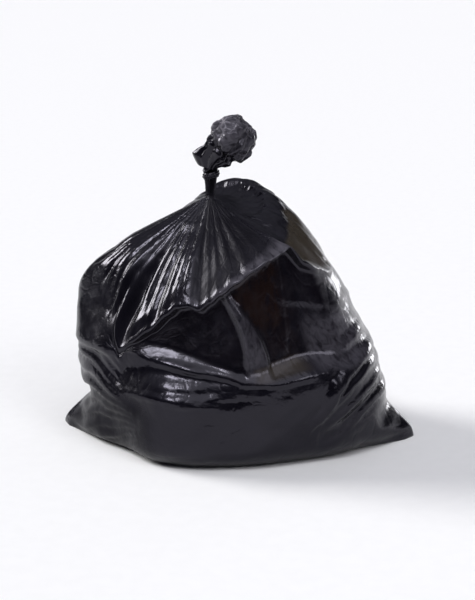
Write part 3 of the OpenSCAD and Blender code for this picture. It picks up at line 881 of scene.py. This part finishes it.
def film_relief(b, finish, place, streaky, bunched, soft):
    """The film's normal, from crinkles, fine crinkles and bunched folds, and the net of the bunched folds."""
    calm = b.attribute("film_calm", "Fac")
    streaks = b.noise(b.scaled(place, 1, 1, 0.3), 85, 3, 0.55, 0.3)
    cross = b.noise(b.scaled(place, 1, 1, 2.2), 48, 3, 0.5, 0.5)
    drift = b.noise(place, 30.0, output="Color")
    warp = b.vector_math("ADD", place, b.scaled(drift, 0.02, 0.02, 0.02))
    creased = b.smooth(b.cells(warp, 38.0), 0.0, 0.16)
    height = 0.45 * creased + 0.9 * streaks * streaky * (1 - 0.7 * soft) + 0.5 * cross * (1 - streaky)
    normal = b.bumped(height * (1 - 0.75 * calm), finish.crinkle, None, 0.75)
    fine = b.smooth(b.cells(warp, 95.0), 0.0, 0.2) * 0.5 + b.noise(place, 320, 2)
    normal = b.bumped(fine * (1 - 0.6 * calm), 0.22 * finish.crinkle, normal, 0.6)
    net = b.cells(b.scaled(warp, 2.6, 2.6, 2.6), 38.0)
    tiny = b.cells(b.scaled(warp, 5.5, 5.5, 5.5), 38.0, "F1")
    bunch = (b.smooth(net, 0.0, 0.3) + 0.6 * tiny) * bunched
    return b.bumped(bunch, finish.bunching, normal, 1.0), net


def film_material(finish):
    """Black glossy film with crinkles, the box's brown showing through where the film lies on it, and painted
    light: the box painted lighter as if lit, a painted sheen and painted glints on the tuft's creases.
    """
    made = bpy.data.materials.new("black_film")
    made.use_nodes = True
    b = Board(made.node_tree)
    place = b.attribute("film_place", "Vector")
    tint = b.attribute("film_tint", "Color")
    soft = b.attribute("film_soft", "Fac")
    brown = b.node("ShaderNodeSeparateColor", {}, {"Color": tint})
    painted_lit_box_share, streaky, pale = b.beside(brown, "Green"), b.beside(brown, "Blue"), b.beside(tint, "Alpha")
    bunched = b.smooth(pale, 0.75, 1.0)
    normal, net = film_relief(b, finish, place, streaky, bunched, soft)

    stain = b.noise(place, 60, 4, 0.6, 0.4)
    clouds = b.smooth(b.noise(place, 22, 3, 0.55), 0.35, 0.7)
    base = b.mix(clouds, rgba(finish.film_colour), rgba(finish.film_pale))
    base = b.mix(brown * b.smooth(stain, 0.25, 0.6), base, rgba(finish.box_brown))
    # The box seen through the film, painted lighter as if lit.
    base = b.mix(painted_lit_box_share * b.smooth(stain, 0.05, 0.5), base, rgba(finish.painted_lit_box))
    # Painted sheen: a pale colour that stands in for reflections and highlights, laid where the tint's last
    # share is high.
    painted_sheen = b.smooth(b.noise(place, 90, 4, 0.6, 0.6), 0.2, 0.65)
    base = b.mix(pale * painted_sheen, base, rgba(finish.painted_sheen))
    # Painted glints: a pale colour on the edges of the tuft's crumples that stands in for highlights.
    painted_glints = bunched * (1 - b.smooth(net, 0.0, 0.16)) * b.smooth(stain, 0.35, 0.6)
    base = b.mix(0.8 * painted_glints, base, rgba(finish.painted_crease_glint))
    smudges = b.smooth(b.noise(place, 45, 3), 0.4, 0.75)
    film = {
        "Base Color": base,
        "Roughness": finish.roughness + 0.09 * smudges + 0.10 * bunched + 0.25 * soft,
        "IOR": 1.5,
        "Specular IOR Level": finish.shine,
        "Specular Tint": rgba(finish.sheen_tint),
        "Normal": normal,
    }
    glossy = b.node("ShaderNodeBsdfPrincipled", {}, film)
    dull = b.node("ShaderNodeBsdfPrincipled", {}, {**film, "Specular IOR Level": finish.dull_shine})
    shares = {0: b.attribute("film_dull", "Fac"), 1: glossy, 2: dull}
    b.node("ShaderNodeOutputMaterial", {}, {"Surface": b.node("ShaderNodeMixShader", {}, shares)})


def floor_material(studio):
    """The pale matt floor, with a faint speckle."""
    made = bpy.data.materials.new("pale_floor")
    made.use_nodes = True
    b = Board(made.node_tree)
    place = b.node("ShaderNodeNewGeometry", {}, {}, "Position")
    speckle = b.smooth(b.noise(place, 40, 4), 0.3, 0.7)
    pale = studio.floor_colour
    base = b.mix(speckle, rgba(pale), rgba([c * 0.985 for c in pale]))
    floor = {"Base Color": base, "Roughness": 0.85, "Specular IOR Level": 0.1}
    b.node("ShaderNodeOutputMaterial", {}, {"Surface": b.node("ShaderNodeBsdfPrincipled", {}, floor)})
    return made


def world_light(studio):
    """A dim room in front and a pale wall behind, with a soft edge at the horizon."""
    world = bpy.data.worlds.new("studio_room")
    world.use_nodes = True
    b = Board(world.node_tree)
    aim = b.node("ShaderNodeTexCoord", {}, {}, "Generated")
    across = b.node("ShaderNodeSeparateXYZ", {}, {"Vector": aim})
    depth, up = b.beside(across, "Y"), b.beside(across, "Z")
    behind = b.smooth(0.574 * across + 0.819 * depth, 0.2, 0.8)
    wall = behind * (1 - b.smooth(up, 0.04, 0.3))
    low = b.mix(wall, rgba(studio.front_room), rgba(studio.back_wall))
    colour = b.mix(b.smooth(up, 0.35, 0.95), low, rgba(studio.ceiling))
    ground = b.node("ShaderNodeBackground", {}, {"Color": colour, "Strength": 1.0})
    b.node("ShaderNodeOutputWorld", {}, {"Surface": ground})
    return world


def colour_prop(name, words, default):
    return bpy.props.FloatVectorProperty(
        name=name, description=words, default=default, subtype="COLOR", size=3, min=0, max=1
    )


def length_prop(name, words, default):
    return bpy.props.FloatProperty(name=name, description=words, default=default, unit="LENGTH", min=0)


def share_prop(name, words, default):
    return bpy.props.FloatProperty(
        name=name, description=words, default=default, subtype="FACTOR", min=0, max=1
    )


class SackSizes(bpy.types.PropertyGroup):
    body_width: length_prop("Body width", "Width of the filled belly from left to right", 0.520)
    body_depth: length_prop("Body depth", "Depth of the filled belly from front to back", 0.391)
    body_height: length_prop("Body height", "Height from the floor to the root of the neck", 0.412)
    neck_left: length_prop("Neck left", "How far the neck stands left of the base centre", 0.044)
    neck_front: length_prop("Neck front", "How far the neck stands in front of the base centre", 0.008)
    neck_radius: length_prop("Neck radius", "Radius of the gathered neck", 0.0105)
    neck_height: length_prop("Neck height", "Height of the neck from its root to the knot", 0.032)
    gather_depth: length_prop("Gather depth", "Depth of a gather on the slope", 0.013)
    hump_rise: length_prop("Hump rise", "Height of the hump of film behind the neck", 0.043)
    corner_reach: length_prop("Corner reach", "How far each bottom corner stands out of the belly", 0.048)
    strand_radius: length_prop("Strand radius", "Radius of the strand that makes the knot", 0.0065)
    knot_pitch: length_prop("Knot pitch", "Rise of the knot's strand in one turn", 0.009)
    tuft_length: length_prop("Tuft length", "Length of the loose film above the knot", 0.098)
    tuft_radius: length_prop("Tuft radius", "Radius of the bunched film at the top", 0.035)
    mouth_depth: length_prop("Mouth depth", "Depth of the hollow in the bunched mouth", 0.016)
    tuft_lean: bpy.props.FloatProperty(
        name="Tuft lean", description="Lean of the tuft to the right", default=TUFT_LEAN, subtype="ANGLE"
    )
    gathers: bpy.props.IntProperty(
        name="Gathers", description="Number of gathers drawn in to the neck", default=24, min=8, max=40
    )


class FilmFinish(bpy.types.PropertyGroup):
    film_colour: colour_prop("Film colour", "Colour of the black film", (0.0026, 0.0023, 0.0042))
    film_pale: colour_prop("Film thin colour", "Colour of film that is drawn thin", (0.0050, 0.0046, 0.0075))
    box_brown: colour_prop("Box brown", "Colour of the box seen through the film", (0.0085, 0.0040, 0.0030))
    # The box's colour seen through the film, painted lighter as if lit by the lamps.
    painted_lit_box: colour_prop("Box olive", "Colour of the lit box seen through it", (0.0380, 0.0305, 0.0205))
    # Painted sheen: a pale colour that stands in for reflections and highlights on the film.
    painted_sheen: colour_prop("Haze", "Colour of film whitened by fine crumples", (0.085, 0.080, 0.096))
    # Painted glints on the edges of the tuft's crumples, standing in for highlights.
    painted_crease_glint: colour_prop("Crease light", "Colour of whitened edges in the tuft", (0.22, 0.21, 0.24))
    sheen_tint: colour_prop("Reflection tint", "Tint of what the film reflects", (0.88, 0.85, 1.0))
    roughness: share_prop("Roughness", "Least roughness of the film", 0.17)
    shine: share_prop("Shine", "Strength of the reflections of clean film", 0.37)
    dull_shine: share_prop("Dull shine", "Strength of the reflections of scuffed film", 0.1)
    bunching: length_prop("Bunching", "Height of the crumples in the bunched tuft", 0.0012)
    crinkle: length_prop("Crinkle", "Height of the fine crinkles", 0.0006)


class StudioLook(bpy.types.PropertyGroup):
    floor_colour: colour_prop("Floor colour", "Colour of the floor", (0.93, 0.93, 0.93))
    front_room: colour_prop("Front room", "Light from the room in front", (0.03, 0.03, 0.04))
    back_wall: colour_prop("Back wall", "Light from the wall behind", (0.90, 0.90, 0.95))
    ceiling: colour_prop("Ceiling", "Light from above", (0.34, 0.34, 0.39))


class SACK_OT_body(bpy.types.Operator):
    """Make the film body from the floor to the neck"""

    bl_idname = "sack.make_body"
    bl_label = "Film body"

    def execute(self, context):
        shape = BodyShape(context.scene.sack_sizes)
        rows = sum(BODY_RAILS) + 1
        passes = BODY_PASSES
        body = crumple(shape.creased, shape.slack, rows, BODY_COLUMNS, BODY_SEED, passes, True)

        u, a, h = shape.grid(rows, BODY_COLUMNS)
        k = np.linspace(0, NECK_TOP, NECK_ROWS + 1)[1:, None]
        neck = shape.neck_point(np.broadcast_to(u, (NECK_ROWS, BODY_COLUMNS)), k)
        share = ease(1 - np.arange(1, NECK_ROWS + 1) / NECK_BLEND_ROWS)
        neck += (body[-1] - shape.neck_point(u, np.zeros(1))) * share[:, None, None]
        rings = np.vstack([body, neck])

        h = np.vstack([h, np.repeat(shape.h + k * shape.neck_h, BODY_COLUMNS, axis=1)])
        a = np.broadcast_to(a[0], h.shape)
        steps = np.linalg.norm(np.diff(rings, axis=0), axis=-1).mean(axis=1)
        along = np.concatenate([[0], np.cumsum(steps)])[:, None] * MM
        place = np.stack(
            [FILM_GIRTH_R * cosd(a), FILM_GIRTH_R * sind(a), np.broadcast_to(along, a.shape)], axis=-1
        )
        tint, calm, soft, dull = shape.tints(a, h)
        x, y = shape.neck
        piece = film_piece(
            "film_body",
            rings,
            (0, 0, 0),
            (x, y, rings[-1, :, 2].mean()),
            {
                "film_place": ("FLOAT_VECTOR", place),
                "film_tint": ("FLOAT_COLOR", tint),
                "film_calm": ("FLOAT", calm),
                "film_soft": ("FLOAT", soft),
                "film_dull": ("FLOAT", dull),
            },
        )
        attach(piece, "root")
        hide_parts("tied_sack")
        return {"FINISHED"}


class SACK_OT_knot(bpy.types.Operator):
    """Make the knot, one strand of the film round its own neck"""

    bl_idname = "sack.make_knot"
    bl_label = "Knot"

    def execute(self, context):
        sizes = context.scene.sack_sizes
        x, y = -sizes.neck_left / MM, -sizes.neck_front / MM
        strand = sizes.strand_radius / MM
        pitch = sizes.knot_pitch / MM
        base = (sizes.body_height + sizes.neck_height) / MM
        rows, columns = KNOT_GRID
        k = np.linspace(0, 1, rows)
        a = KNOT_START + KNOT_SWEEP * k
        out = 0.86 * sizes.neck_radius / MM * (0.45 + 0.55 * window(k, 0, 0.2, 1, 0.2))
        up = base + 0.7 * strand + pitch * (k + 0.22 * sind(a))
        line = np.stack([x + out * cosd(a), y + out * sind(a), up], axis=-1)
        ahead = unit(np.gradient(line, axis=0))
        side = unit(np.cross(ahead, [0, 0, 1.0]))
        over = np.cross(side, ahead)
        v = np.arange(columns) * 360 / columns
        grooves = pleat(KNOT_GROOVES * (v[None, :] + 90 * k[:, None]) / 360)
        r = strand * (1.02 - 0.2 * grooves) * (0.93 + 0.07 * sind(900 * k))[:, None]
        r = r * (0.55 + 0.45 * np.minimum(1, 8 * np.minimum(k, 1 - k)))[:, None]
        round_it = (r * cosd(v))[..., None] * side[:, None] + (r * sind(v))[..., None] * over[:, None]
        rings = (line[:, None] + round_it)[:, ::-1]
        tint = np.zeros((rows, columns, 4))
        tint[..., 2] = 0.4
        looks = {"film_place": ("FLOAT_VECTOR", rings * MM * 2), "film_tint": ("FLOAT_COLOR", tint)}
        piece = film_piece("film_knot", rings, line[0], line[-1], looks)
        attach(piece, "root")
        return {"FINISHED"}


class TuftShape:
    """The bunched film above the knot: q runs from its root up, over the rim and down into the mouth."""

    def __init__(self, sizes):
        self.length = sizes.tuft_length / MM
        self.radius = sizes.tuft_radius / MM
        self.mouth = sizes.mouth_depth / MM
        knot = (sizes.knot_pitch + 2 * sizes.strand_radius) / MM
        self.lead = 0.6 * knot
        self.s = np.linspace(0, self.lead + self.length, TUFT_STEPS)
        bent = np.clip((self.s - self.lead) / (0.265 * self.length) + 0.3, 0, 1)
        self.lean = math.degrees(sizes.tuft_lean) * bent
        ds = self.s[1] - self.s[0]
        self.line = np.zeros((TUFT_STEPS, 3))
        self.line[1:, 0] = np.cumsum(sind(self.lean[:-1])) * ds
        self.line[1:, 2] = np.cumsum(cosd(self.lean[:-1])) * ds
        start = (sizes.body_height + sizes.neck_height) / MM + 0.2 * knot
        self.line += [-sizes.neck_left / MM, -sizes.neck_front / MM, start]

    def creased(self, rows, columns):
        """Points of the tuft with the flat facets of its bunched film."""
        q = np.linspace(0, 1, rows)[:, None]
        u = np.arange(columns)[None, :] * 360 / columns
        a = u + 5 * sind(3 * u)
        k = np.where(q < TUFT_RIM, blend(-0.2, 0.97, q / TUFT_RIM), 0.97)
        inside = np.clip((q - TUFT_RIM) / (1 - TUFT_RIM), 0, 1)
        share = np.interp(k, *np.array(TUFT_FLARE).T) * (1 - 0.86 * inside)
        share = share * (1 - 0.2 * bump((k - 0.4 + 0.05 * cosd(a)) / 0.1))
        valley = pleat(TUFT_GATHERS * u / 360 + 0.18 * sind(2 * u + 30) + 0.12 * sind(5 * u))
        ball = ease((k - 0.34) / 0.14)
        r = self.radius * share * (1.04 - (0.10 + 0.14 * ease(k * 2) - 0.12 * ball) * valley)
        tip = tent((k - 0.09) / 0.24) ** 1.3 * tent(turn(a - 178) / 55) ** 1.3
        r = r + 25 * tip + 0.14 * self.radius * bump((k - 0.45) / 0.25) * near(a, 165, 60)
        drop = self.mouth * ease(inside * 1.3) * (0.65 + 0.35 * sind(3 * u + 100))
        at = self.lead + k * np.where(k > 0, self.length, self.lead)
        centre = np.stack([np.interp(at, self.s, self.line[:, i]) for i in range(3)], axis=-1)
        tilt = np.interp(at, self.s, self.lean)
        p = centre + np.stack(
            [
                r * cosd(a) * cosd(tilt) - drop * sind(tilt),
                0.84 * r * sind(a),
                -r * cosd(a) * sind(tilt) - drop * cosd(tilt),
            ],
            axis=-1,
        )
        random = np.random.RandomState(TUFT_FACET_SEED)
        out = facets(p, random, TUFT_FACETS)
        return p + ((out + 0.3) * ball)[..., None] * face_normals(p)

    def slack(self, rows, columns):
        """Shares of slack round and up, then how far in mm the film may lie inside and outside its rest."""
        q = np.linspace(0, 1, rows)[:, None] * np.ones((1, columns))
        loose = window(q, 0.18, 0.2, 1, 0.07)
        return 0.06 * loose, 0.05 * loose, 0.3 + 3 * loose, 0.3 + 2 * loose


class SACK_OT_tuft(bpy.types.Operator):
    """Make the tuft of loose film above the knot"""

    bl_idname = "sack.make_tuft"
    bl_label = "Tuft"

    def execute(self, context):
        shape = TuftShape(context.scene.sack_sizes)
        rows, columns = TUFT_GRID
        rings = crumple(shape.creased, shape.slack, rows, columns, TUFT_SEED, TUFT_PASSES, False)
        q = np.linspace(0, 1, rows)[:, None] * np.ones((1, columns))
        u = np.arange(columns)[None, :] * 360 / columns * np.ones((rows, 1))
        place = np.stack([0.035 * cosd(u), 0.035 * sind(u), 0.15 * q], axis=-1)
        tint = np.zeros((rows, columns, 4))
        tint[..., 2] = 0.6 * (1 - ease((q - 0.35) / 0.2))
        # Painted sheen on the tuft's ball, stronger on the side the lamps light: painted light.
        lit = 0.35 + 0.65 * ease((0.3 - cosd(u)) / 0.9)
        tint[..., 3] = ease((q - 0.36) / 0.12) * np.maximum(lit, ease((q - 0.66) / 0.08))
        looks = {"film_place": ("FLOAT_VECTOR", place), "film_tint": ("FLOAT_COLOR", tint)}
        piece = film_piece("film_tuft", rings, rings[0].mean(axis=0), rings[-1].mean(axis=0), looks)
        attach(piece, "root")
        return {"FINISHED"}


class SACK_OT_finish(bpy.types.Operator):
    """Make the film's material"""

    bl_idname = "sack.make_finish"
    bl_label = "Film finish"

    def execute(self, context):
        film_material(context.scene.film_finish)
        return {"FINISHED"}


def aimed(name, data, azimuth, elevation, distance, target):
    """An object that looks at the target. Azimuth is in degrees from +X towards +Y."""
    a, e = math.radians(azimuth), math.radians(elevation)
    back = Vector((math.cos(a) * math.cos(e), math.sin(a) * math.cos(e), math.sin(e)))
    made = bpy.data.objects.new(name, data)
    made.location = Vector(target) + back * distance
    made.rotation_mode = "QUATERNION"
    made.rotation_quaternion = back.to_track_quat("Z", "Y")
    bpy.context.collection.objects.link(made)
    return made


class SACK_OT_stage(bpy.types.Operator):
    """Make the floor, the lamps, the room and the camera"""

    bl_idname = "sack.make_stage"
    bl_label = "Stage"

    def execute(self, context):
        scene, studio = context.scene, context.scene.studio_look
        mesh = bpy.data.meshes.new("floor")
        corners = [(x * FLOOR_HALF, y * FLOOR_HALF, 0) for x, y in ((-1, -1), (1, -1), (1, 1), (-1, 1))]
        mesh.from_pydata(corners, [], [(0, 1, 2, 3)])
        floor = bpy.data.objects.new("floor", mesh)
        context.collection.objects.link(floor)
        floor.data.materials.append(floor_material(studio))

        for name, azimuth, elevation, strength, width, colour in LAMPS:
            lamp = bpy.data.lights.new(name, "SUN")
            lamp.energy = strength
            lamp.angle = math.radians(width)
            lamp.color = colour
            aimed(name, lamp, azimuth, elevation, LAMP_DISTANCE, (0, 0, 0))

        scene.world = world_light(studio)
        scene.view_settings.view_transform = "Standard"
        camera = bpy.data.cameras.new("camera")
        camera.sensor_width = 36
        camera.lens = LENS
        camera.clip_end = 200
        scene.camera = aimed("camera", camera, *CAMERA_PLACE, CAMERA_TARGET)
        return {"FINISHED"}


class SACK_PT_panel(bpy.types.Panel):
    """Sizes, finish and steps of the sack"""

    bl_label = "Tied sack"
    bl_idname = "SACK_PT_panel"
    bl_space_type = "VIEW_3D"
    bl_region_type = "UI"
    bl_category = "Sack"

    def draw(self, context):
        scene = context.scene
        for group in (scene.sack_sizes, scene.film_finish, scene.studio_look):
            box = self.layout.box()
            for name in group.__annotations__:
                box.prop(group, name)
        for step in STEPS:
            self.layout.operator(step.bl_idname)


STEPS = (SACK_OT_finish, SACK_OT_body, SACK_OT_knot, SACK_OT_tuft, SACK_OT_stage)
GROUPS = {"sack_sizes": SackSizes, "film_finish": FilmFinish, "studio_look": StudioLook}


def register():
    for made in (*GROUPS.values(), *STEPS, SACK_PT_panel):
        bpy.utils.register_class(made)
    for name, group in GROUPS.items():
        setattr(bpy.types.Scene, name, bpy.props.PointerProperty(type=group))


def unregister():
    for name in GROUPS:
        delattr(bpy.types.Scene, name)
    for made in reversed((*GROUPS.values(), *STEPS, SACK_PT_panel)):
        bpy.utils.unregister_class(made)


def main():
    register()
    bpy.ops.sack.make_finish()
    bpy.ops.sack.make_body()
    bpy.ops.sack.make_knot()
    bpy.ops.sack.make_tuft()
    bpy.ops.sack.make_stage()


if __name__ == "__main__":
    main()
